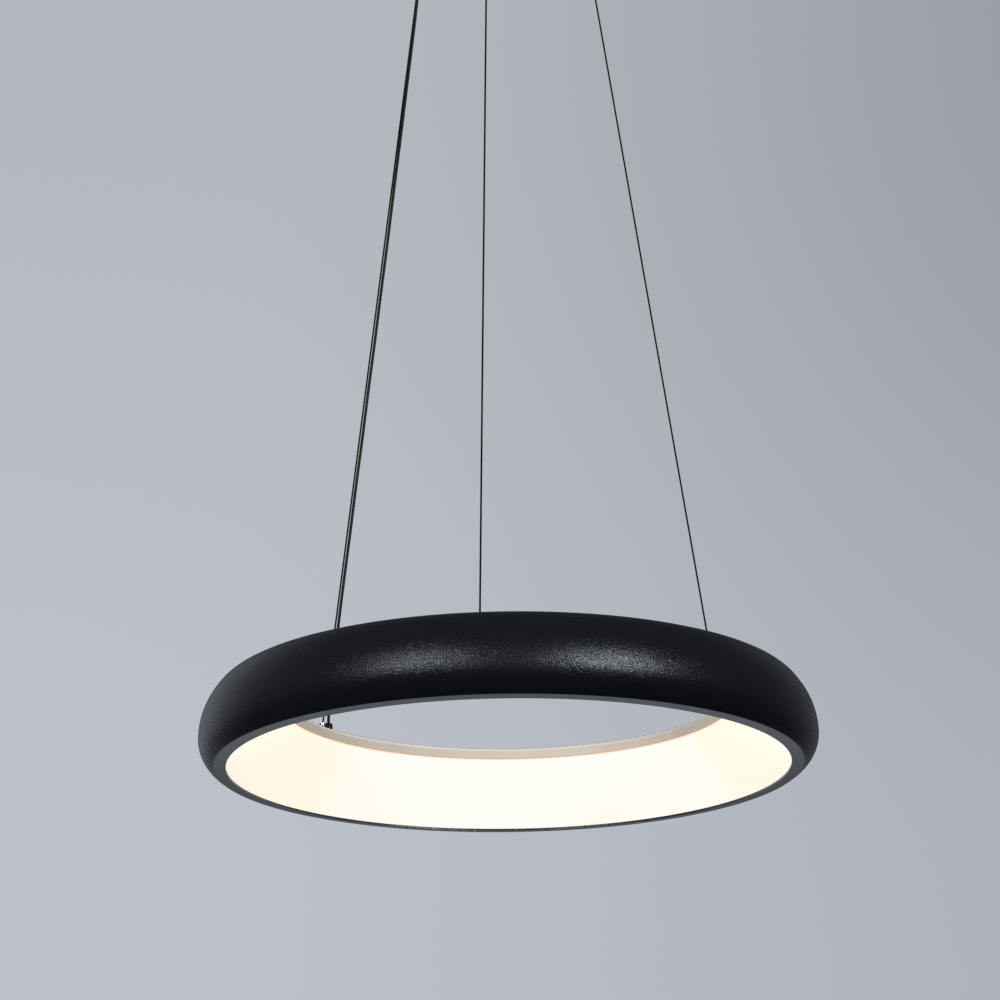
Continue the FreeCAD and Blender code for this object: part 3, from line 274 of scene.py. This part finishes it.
def addSleeve(station, s):
    centre = middleOf(f"release_sleeve_{station}")
    piece = turnPiece(f"releaseSleeve_{station}", centre, [
        (s["mouth"], s["low"]),
        (s["radius"] - s["chamfer"], s["low"]),
        (s["radius"], s["low"] + s["chamfer"]),
        (s["radius"], s["fluteLow"]),
        (s["radius"], s["fluteHigh"]),
        (s["radius"], s["nozzleTop"] - s["chamfer"]),
        (s["radius"] - s["chamfer"], s["nozzleTop"]),
        (s["neck"], s["nozzleTop"]),
        (s["neck"], s["collarLow"]),
        (s["collar"], s["collarLow"]),
        (s["collar"], s["top"]),
        (s["bore"], s["top"]),
        (s["bore"], s["nozzleTop"]),
    ])
    cutFlutes(piece, centre, s)
    finishPiece(piece, None, f"sleeve_{station}", f"release_sleeve_{station}", "nickel")


for station in stations:
    addSleeve(station, sleeveSizes)
print("release sleeves made")


# cord grip in the canopy, its nose ribbed and tapered so that the cord bends gently; the nose's plain tip
# is given as a share of the step from rib to rib
cordGrip = dict(under=-0.0420, flange=-0.0470, flangeRadius=0.0070, flangeChamfer=0.0008,
                shoulder=0.0052, noseLow=-0.0640, noseRadius=0.0032, bore=0.0019,
                studRadius=0.0050, studTop=-0.0290, bevel=0.00025,
                ribs=5, plainTip=0.75, ribGap=0.0012, ribDepth=0.0007, ribSlope=0.0002)


def addCordGrip(s):
    corners = [(s["bore"], s["noseLow"]), (s["noseRadius"], s["noseLow"])]
    run = s["flange"] - s["noseLow"]
    for rib in range(s["ribs"]):
        low = s["noseLow"] + run * (rib + s["plainTip"]) / (s["ribs"] + s["plainTip"])
        high = low + s["ribGap"]
        share = (low - s["noseLow"]) / run
        radius = s["noseRadius"] + (s["shoulder"] - s["noseRadius"]) * share
        inner = radius - s["ribDepth"]
        corners += [
            (radius, low),
            (inner, low + s["ribSlope"]),
            (inner, high - s["ribSlope"]),
            (radius, high),
        ]
    corners += [
        (s["shoulder"], s["flange"]),
        (s["flangeRadius"] - s["flangeChamfer"], s["flange"]),
        (s["flangeRadius"], s["flange"] + s["flangeChamfer"]),
        (s["flangeRadius"], s["under"]),
        (s["studRadius"], s["under"]),
        (s["studRadius"], s["studTop"]),
        (s["bore"], s["studTop"]),
    ]
    piece = turnPiece("cordGripNose", middleOf("canopy_cord_grip"), corners)
    finishPiece(piece, s["bevel"], "canopy", "canopy_cord_grip", "black_fitting")


addCordGrip(cordGrip)
print("cord grip made")


# shader maths: a socket that can be added, multiplied and so on
class Value:
    def __init__(self, tree, socket):
        self.tree = tree
        self.socket = socket

    def maths(self, operation, first, second):
        return self.tree.add("ShaderNodeMath", dict(operation=operation), {0: first, 1: second})

    def __add__(self, other):
        return self.maths("ADD", self, other)

    def __radd__(self, other):
        return self.maths("ADD", other, self)

    def __sub__(self, other):
        return self.maths("SUBTRACT", self, other)

    def __rsub__(self, other):
        return self.maths("SUBTRACT", other, self)

    def __mul__(self, other):
        return self.maths("MULTIPLY", self, other)

    def __rmul__(self, other):
        return self.maths("MULTIPLY", other, self)

    def __truediv__(self, other):
        return self.maths("DIVIDE", self, other)

    def __pow__(self, other):
        return self.maths("POWER", self, other)

    def one(self, operation):  # sine, fraction, absolute and such
        return self.tree.add("ShaderNodeMath", dict(operation=operation), {0: self})

    def ramp(self, low, high, toLow=0.0, toHigh=1.0):  # smooth, from one level to the other
        return self.tree.add("ShaderNodeMapRange", dict(interpolation_type="SMOOTHSTEP"), {
            "Value": self, "From Min": low, "From Max": high, "To Min": toLow, "To Max": toHigh})


class Tree:
    def __init__(self, tree):
        self.tree = tree
        tree.nodes.clear()

    def add(self, kind, settings, values, output=0):
        node = self.tree.nodes.new(kind)
        for name, value in settings.items():
            setattr(node, name, value)
        for name, value in values.items():
            socket = node.inputs[name]
            if isinstance(value, Value):
                self.tree.links.new(value.socket, socket)
            elif socket.type == "RGBA" and len(value) == 3:
                socket.default_value = (*value, 1)
            else:
                socket.default_value = value
        return Value(self, node.outputs[output]) if len(node.outputs) else node

    def mix(self, factor, first, second):  # the mix node's colours are its sockets 6 and 7
        return self.add("ShaderNodeMix", dict(data_type="RGBA"), {0: factor, 6: first, 7: second}, output=2)

    def noise(self, spot, scale, detail=2.0, roughness=0.5):
        return self.add("ShaderNodeTexNoise", {}, {
            "Vector": spot, "Scale": scale, "Detail": detail, "Roughness": roughness})

    def bump(self, height, distance, strength=1.0):
        return self.add("ShaderNodeBump", {}, {"Height": height, "Distance": distance, "Strength": strength})

    def join(self, x, y, z):
        return self.add("ShaderNodeCombineXYZ", {}, {"X": x, "Y": y, "Z": z})

    def split(self, vector):
        apart = self.add("ShaderNodeSeparateXYZ", {}, {"Vector": vector}).socket.node
        return [Value(self, out) for out in apart.outputs]


class Finish(Tree):
    def __init__(self, name):
        self.material = bpy.data.materials.new(name)
        self.material.use_nodes = True
        super().__init__(self.material.node_tree)
        self.spot = self.add("ShaderNodeTexCoord", {}, {}, output="Object")
        self.x, self.y, self.z = self.split(self.spot)

    def turn(self):  # in turns round the lamp, 0 towards the camera and growing towards +X
        return self.x.maths("ARCTAN2", self.x, 0.0 - self.y) / (2 * math.pi)

    def radius(self):
        return (self.x * self.x + self.y * self.y) ** 0.5

    def surface(self, sockets):
        shader = self.add("ShaderNodeBsdfPrincipled", {}, sockets)
        self.add("ShaderNodeOutputMaterial", {}, {"Surface": shader})
        return self.material


# paint on the ring and the canopy: near black, finely textured powder coat. From here on f is the finish
# being made and s its settings, in which a ramp has its start and end, then its levels if not 0 and 1
noiseSpan = (0.3, 0.7)  # most of a noise lies between these
paintSizes = dict(grainScale=700, grainDetail=2, grainRoughness=0.6, grainHeight=0.0004,
                  smooth=0.22, dull=0.31, gloss=0.4, cloudScale=8, cloudDetail=3,
                  dark=(0.0054, 0.0058, 0.0076), pale=(0.0064, 0.0068, 0.0090))
lipSizes = dict(inner=(0.2776, 0.2779), outer=(0.2894, 0.2900, 1, 0), top=(-0.9808, -0.9805, 1, 0),
                roughness=0.15)


def paintParts(f, s):
    grain = f.noise(f.spot, s["grainScale"], s["grainDetail"], s["grainRoughness"])
    cloud = f.noise(f.spot, s["cloudScale"], s["cloudDetail"])
    tone = f.mix(cloud.ramp(*noiseSpan), s["dark"], s["pale"])
    return tone, grain.ramp(*noiseSpan, s["smooth"], s["dull"]), grain


def blackPaint(s, edge):  # smooth on the lip's flat underside
    f = Finish("blackTexturedPaint")
    tone, rough, grain = paintParts(f, s)
    lip = f.radius().ramp(*edge["inner"]) * f.radius().ramp(*edge["outer"]) * f.z.ramp(*edge["top"])
    rough = rough * (1 - lip) + edge["roughness"] * lip
    return f.surface({"Base Color": tone, "Roughness": rough, "Specular IOR Level": s["gloss"],
                      "Normal": f.bump(grain * (1 - lip), s["grainHeight"])})


# top frame: the same paint above; on the short band inside the ring, light enamel tinted warm as painted
# diffuser glow
bandSizes = dict(outer=(0.2256, 0.2262, 1, 0), top=(-0.9062, -0.9058, 1, 0), roughness=0.5, cloudScale=25,
                 dark=(0.82, 0.69, 0.58), pale=(0.86, 0.73, 0.62))


def framePaint(s, inside):
    f = Finish("topFramePaint")
    tone, rough, grain = paintParts(f, s)
    band = f.radius().ramp(*inside["outer"]) * f.z.ramp(*inside["top"])
    # light enamel, its warm tint a painted glow from the diffuser beside it
    enamelAndPaintedGlow = f.mix(f.noise(f.spot, inside["cloudScale"]).ramp(*noiseSpan), inside["dark"], inside["pale"])
    rough = rough * (1 - band) + band * inside["roughness"]
    return f.surface({"Base Color": f.mix(band, tone, enamelAndPaintedGlow), "Roughness": rough,
                      "Specular IOR Level": s["gloss"], "Normal": f.bump(grain, s["grainHeight"])})


# opal diffuser, lit: warm, whiter at the back of the ring, and orange along its upper edge
opalSizes = dict(middle=0.0175, warmTurn=(0.347, 0.366, 1, 0), foot=-0.9797, height=0.0634,
                 edge=(0.978, 1.0), white=(0.90, 0.842, 0.771), warm=(0.90, 0.835, 0.688),
                 orange=(0.76, 0.42, 0.18), body=(0.30, 0.28, 0.25), grainScale=600,
                 roughness=(0.38, 0.46), relief=0.00005, strength=0.3)


def opalGlow(s):
    f = Finish("opalDiffuser")
    warm = (f.turn() + s["middle"]).one("ABSOLUTE").ramp(*s["warmTurn"])
    height = (f.z - s["foot"]) / s["height"]
    glow = f.mix(warm, s["white"], s["warm"])
    glow = f.mix(height.ramp(*s["edge"]), glow, s["orange"])
    milk = f.noise(f.spot, s["grainScale"])
    return f.surface({"Base Color": s["body"], "Roughness": milk.ramp(*noiseSpan, *s["roughness"]),
                      "Normal": f.bump(milk, s["relief"], s["strength"]),
                      "Emission Color": glow, "Emission Strength": 1.0})


# metals: rolled aluminium behind the diffuser, plated steel, and galvanised sheet on the ceiling
metalSizes = dict(grainScale=500, grainDetail=3, relief=0.00003, strength=0.4, spread=0.06)
rolledSizes = dict(around=8, across=900, roughness=(0.28, 0.42),
                   dark=(0.74, 0.75, 0.76), pale=(0.82, 0.83, 0.84))
spangleSizes = dict(scale=130, roughness=(0.30, 0.48), dark=(0.58, 0.60, 0.63), pale=(0.74, 0.75, 0.77))


def bareAluminium(s):
    f = Finish("millAluminium")
    drawn = f.join(f.turn() * s["around"], f.radius() * s["across"], f.z * s["across"])
    grain = f.noise(drawn, 1.0, metalSizes["grainDetail"])
    return f.surface({"Base Color": f.mix(grain.ramp(*noiseSpan), s["dark"], s["pale"]), "Metallic": 1.0,
                      "Roughness": grain.ramp(*noiseSpan, *s["roughness"]),
                      "Normal": f.bump(grain, metalSizes["relief"], metalSizes["strength"])})


def plainMetal(name, dark, pale, roughness):
    s = metalSizes
    f = Finish(name)
    grain = f.noise(f.spot, s["grainScale"], s["grainDetail"])
    rough = grain.ramp(*noiseSpan, roughness - s["spread"], roughness + s["spread"])
    return f.surface({"Base Color": f.mix(grain.ramp(*noiseSpan), dark, pale), "Metallic": 1.0,
                      "Roughness": rough, "Normal": f.bump(grain, s["relief"], s["strength"])})


def galvanisedSheet(s):
    f = Finish("galvanisedSheet")
    spangle = f.add("ShaderNodeTexVoronoi", {}, {"Vector": f.spot, "Scale": s["scale"]}, output="Color")
    shade = f.split(spangle)[0]
    return f.surface({"Base Color": f.mix(shade, s["dark"], s["pale"]), "Metallic": 1.0,
                      "Roughness": shade.ramp(0, 1, *s["roughness"])})


# LED strip: a white flexible circuit with copper pads, and a phosphor face on each chip
stripSizes = dict(chips=90, middle=-0.963, roughness=0.38, padWidth=(0.02, 0.03, 1, 0),
                  padHeight=(0.0032, 0.0034), white=(0.86, 0.86, 0.84), copper=(0.78, 0.46, 0.24))
chipSizes = dict(middle=-0.963, edge=(0.0009, 0.0011), face=(0.95, 0.74, 0.16), body=(0.90, 0.89, 0.86),
                 roughness=(0.15, 0.4))


def flexCircuit(s):
    f = Finish("whiteFlexCircuit")
    step = (f.turn() * s["chips"]).one("FRACT")
    pad = step.ramp(*s["padWidth"]) * (f.z - s["middle"]).one("ABSOLUTE").ramp(*s["padHeight"])
    return f.surface({"Base Color": f.mix(pad, s["white"], s["copper"]), "Metallic": pad,
                      "Roughness": s["roughness"]})


def phosphor(s):
    f = Finish("phosphorChip")
    edge = (f.z - s["middle"]).one("ABSOLUTE").ramp(*s["edge"])
    return f.surface({"Base Color": f.mix(edge, s["face"], s["body"]),
                      "Roughness": edge.ramp(0, 1, *s["roughness"])})


# plastics, rubber and enamel
plasticSizes = dict(cloudScale=40, relief=0.00004, strength=0.5, spread=0.05)


def plainPlastic(name, dark, pale, roughness, scale=900, gloss=0.5):
    s = plasticSizes
    f = Finish(name)
    grain = f.noise(f.spot, scale)
    tone = f.mix(f.noise(f.spot, s["cloudScale"]).ramp(*noiseSpan), dark, pale)
    rough = grain.ramp(*noiseSpan, roughness - s["spread"], roughness + s["spread"])
    return f.surface({"Base Color": tone, "Roughness": rough, "Specular IOR Level": gloss,
                      "Normal": f.bump(grain, s["relief"], s["strength"])})


# thin black stranded wire; the strands show as a shallow twist round each wire's own line, with painted shade
# in the grooves between them
wireSizes = dict(top=-0.055, low=-0.8987, topCircle=0.106, lowCircle=0.238, frontTurn=-6,
                 strands=6, lay=0.011, relief=0.00012, strength=0.7, roughness=0.55, gloss=0.08,
                 dark=(0.003, 0.003, 0.003), pale=(0.005, 0.005, 0.005))


def wireFinish(f, x, y, z, s):
    turn = y.maths("ARCTAN2", y, x)
    strand = (turn * s["strands"] + z * (2 * math.pi * s["strands"] / s["lay"])).one("SINE")
    # painted shade: the colour goes darker where the strand relief is low, in the grooves
    tone = f.mix(strand.ramp(-1, 1), s["dark"], s["pale"])
    return f.surface({"Base Color": tone, "Roughness": s["roughness"], "Specular IOR Level": s["gloss"],
                      "Normal": f.bump(strand, s["relief"], s["strength"])})


def leaningWire(station, s):
    f = Finish(f"blackWire_{station}")
    turn = math.radians(s["frontTurn"] + stations[station])
    lean = math.atan2(s["lowCircle"] - s["topCircle"], s["top"] - s["low"])
    out = Vector((math.sin(turn), -math.cos(turn), 0))
    line = (out * math.sin(lean) - Vector((0, 0, 1)) * math.cos(lean)).normalized()
    start = out * s["topCircle"] + Vector((0, 0, s["top"]))
    own = f.add("ShaderNodeMapping", dict(vector_type="TEXTURE"), {
        "Vector": f.spot, "Location": start, "Rotation": line.to_track_quat("-Z", "Y").to_euler()})
    return wireFinish(f, *f.split(own), s)


def uprightWire(s):
    f = Finish("blackWireEnds")
    return wireFinish(f, f.x, f.y, f.z, s)


finishes = dict(
    black_paint=blackPaint(paintSizes, lipSizes),
    opal=opalGlow(opalSizes),
    bare_aluminium=bareAluminium(rolledSizes),
    circuit=flexCircuit(stripSizes),
    phosphor=phosphor(chipSizes),
    white_enamel=plainPlastic("whiteEnamel", (0.86, 0.86, 0.85), (0.90, 0.90, 0.89),
                              roughness=0.32, scale=300),
    white_nylon=plainPlastic("whiteNylon", (0.82, 0.82, 0.80), (0.87, 0.87, 0.85), roughness=0.48),
    steel=plainMetal("zincPlatedSteel", (0.58, 0.59, 0.61), (0.67, 0.68, 0.70), roughness=0.36),
    stranded_steel=uprightWire(wireSizes),
    black_fitting=plainPlastic("blackenedFitting", (0.004, 0.004, 0.004), (0.007, 0.007, 0.008),
                               roughness=0.36, scale=1400, gloss=0.25),
    nickel=plainMetal("nickelPlate", (0.66, 0.65, 0.62), (0.73, 0.72, 0.69), roughness=0.22),
    cord_sheath=plainPlastic("blackCordSheath", (0.003, 0.003, 0.003), (0.005, 0.005, 0.005),
                             roughness=0.42, scale=1600, gloss=0.15),
    lead_sheath=plainPlastic("whiteLeadSheath", (0.78, 0.78, 0.76), (0.83, 0.83, 0.81), roughness=0.42),
    black_rubber=plainPlastic("softBlackRubber", (0.024, 0.024, 0.024), (0.034, 0.034, 0.034), roughness=0.7),
    zinc_plate=galvanisedSheet(spangleSizes),
)
ownFinishes = dict(top_frame=framePaint(paintSizes, bandSizes))
for station in stations:
    ownFinishes[f"wire_{station}"] = leaningWire(station, wireSizes)


def dress(piece, material):
    piece.data.materials.clear()
    piece.data.materials.append(material)


for part in frame["record"]["subparts"]:
    dress(nodes[part["node"]], ownFinishes.get(part["node"], finishes[part["material_slot"]]))
for slot, pieces in newPieces.items():
    for piece in pieces:
        dress(piece, finishes[slot])
print("finishes given")


# pale floor far below, fading into the backdrop; only the camera sees it, and only from above
floorSetup = dict(height=-2.6, size=80.0, near=(0.52, 0.54, 0.57), far=(0.52, 0.545, 0.60), roughness=0.85,
                  cloudScale=2.0, cloudGain=1.04, fade=(1.5, 7.0))


def addFloor(setup):
    bpy.ops.mesh.primitive_plane_add(size=setup["size"], location=(0, 0, setup["height"]))
    floor = bpy.context.object
    floor.name = "paleFloor"
    bpy.ops.object.transform_apply(location=True)
    f = Finish("paleFloorPaint")
    pale = tuple(channel * setup["cloudGain"] for channel in setup["near"])
    tone = f.mix(f.noise(f.spot, setup["cloudScale"]).ramp(*noiseSpan), setup["near"], pale)
    paint = f.add("ShaderNodeBsdfPrincipled", {}, {"Base Color": tone, "Roughness": setup["roughness"]})
    haze = f.add("ShaderNodeEmission", {}, {"Color": setup["far"], "Strength": 1.0})
    clear = f.add("ShaderNodeBsdfTransparent", {}, {})
    shown = f.add("ShaderNodeMixShader", {}, {0: f.radius().ramp(*setup["fade"]), 1: paint, 2: haze})
    under = f.add("ShaderNodeNewGeometry", {}, {}, output="Backfacing")
    seen = f.add("ShaderNodeLightPath", {}, {}, output="Is Camera Ray")
    both = f.add("ShaderNodeMixShader", {}, {0: seen * (1 - under), 1: clear, 2: shown})
    f.add("ShaderNodeOutputMaterial", {}, {"Surface": both})
    dress(floor, f.material)
    floor.select_set(False)


# what the camera sees: a grey wall, a little darker above and to the right
wallLook = dict(low=(0.514, 0.544, 0.598), high=(0.457, 0.484, 0.524), shade=(0.02, 0.03, 0.04),
                rise=(0.20, 0.46), upper=(0.16, 0.46), upperAcross=(-0.09, 0.26), upperShade=0.37,
                lowerAcross=(-0.17, 0.25), lowerShade=0.20)


def wallColour(t, x, z, s):
    wall = t.mix(z.ramp(*s["rise"]), s["low"], s["high"])
    upper = z.ramp(*s["upper"])
    shade = x.ramp(*s["upperAcross"]) * upper * s["upperShade"]
    shade = shade + x.ramp(*s["lowerAcross"]) * (1 - upper) * s["lowerShade"]
    return t.mix(shade, wall, s["shade"])


# what lights the lamp: dim in front and above, brighter low walls behind and at the sides, dark below
glowLook = dict(colour=(0.90, 0.97, 1.10), rise=(-0.4, 0.0, 0.04, 0.09), across=(0.0, 0.45, 1, 0.65),
                backDepth=(0.3, 0.8), backWidth=(0.2, 0.45, 1, 0), backTop=(0.0, 0.2, 1, 0),
                backFoot=(-0.6, -0.42), backLevel=(-0.36, -0.16, 0.50, 0.12),
                sideWidth=(0.15, 0.45), sideTop=(0.5, 0.95, 1, 0), sideFoot=(-0.25, 0.1),
                farDepth=(0.4, 0.95), farLevel=(-0.5, 0.5, 0.39, 0.11),
                leftDepth=(0.0, 0.4), leftLevel=(-0.7, -0.4, 0.12, 0))


def roomGlow(x, y, z, s):
    away = x.one("ABSOLUTE")
    back = y.ramp(*s["backDepth"]) * away.ramp(*s["backWidth"])
    back = back * z.ramp(*s["backTop"]) * z.ramp(*s["backFoot"])
    sides = away.ramp(*s["sideWidth"]) * z.ramp(*s["sideTop"]) * z.ramp(*s["sideFoot"])
    level = y.ramp(*s["farDepth"]) * x.ramp(*s["farLevel"])
    level = level + y.ramp(*s["leftDepth"]) * x.ramp(*s["leftLevel"])
    glow = z.ramp(*s["rise"]) * x.ramp(*s["across"])
    return glow + back * z.ramp(*s["backLevel"]) + sides * level


def addStudioWorld():
    world = bpy.data.worlds.new("studioWorld")
    bpy.context.scene.world = world
    world.use_nodes = True
    t = Tree(world.node_tree)
    x, y, z = t.split(t.add("ShaderNodeTexCoord", {}, {}, output="Generated"))
    wall = wallColour(t, x, z, wallLook)
    glow = roomGlow(x, y, z, glowLook)
    seen = t.add("ShaderNodeLightPath", {}, {}, output="Is Camera Ray")
    shown = t.add("ShaderNodeBackground", {}, {"Color": wall, "Strength": 1.0})
    lit = t.add("ShaderNodeBackground", {}, {"Color": glowLook["colour"], "Strength": glow})
    both = t.add("ShaderNodeMixShader", {}, {0: seen, 1: lit, 2: shown})
    t.add("ShaderNodeOutputWorld", {}, {"Surface": both})


# soft lights round the ring, turned from the camera's side towards +X; the fills show in no reflection
lampMiddle = Vector((0, 0, -0.94))
lightColour = (0.88, 0.94, 1.0)
softLights = dict(
    leftBox=dict(turn=-31, rise=15, away=3.6, size=0.55, power=45, mirrored=True),
    rightBox=dict(turn=35.5, rise=13, away=3.6, size=0.4, power=78, mirrored=True),
    midFill=dict(turn=-2, rise=13, away=3.9, size=0.6, power=1, mirrored=True),
    leftFill=dict(turn=-72, rise=-20, away=3.6, size=1.0, power=34, mirrored=False),
    overhead=dict(turn=180, rise=78, away=4.0, size=2.0, power=60, mirrored=False),
)


def addSoftLight(name, setup):
    data = bpy.data.lights.new(name, "AREA")
    data.shape = "DISK"
    data.size = setup["size"]
    data.energy = setup["power"]
    data.color = lightColour
    light = bpy.data.objects.new(name, data)
    light.visible_glossy = setup["mirrored"]
    bpy.context.scene.collection.objects.link(light)
    turn = math.radians(setup["turn"])
    rise = math.radians(setup["rise"])
    way = Vector((math.sin(turn) * math.cos(rise), -math.cos(turn) * math.cos(rise), math.sin(rise)))
    place = lampMiddle + way * setup["away"]
    light.matrix_world = Matrix.Translation(place) @ way.to_track_quat("Z", "Y").to_matrix().to_4x4()


addFloor(floorSetup)
addStudioWorld()
for name, setup in softLights.items():
    addSoftLight(name, setup)
print("studio lit")
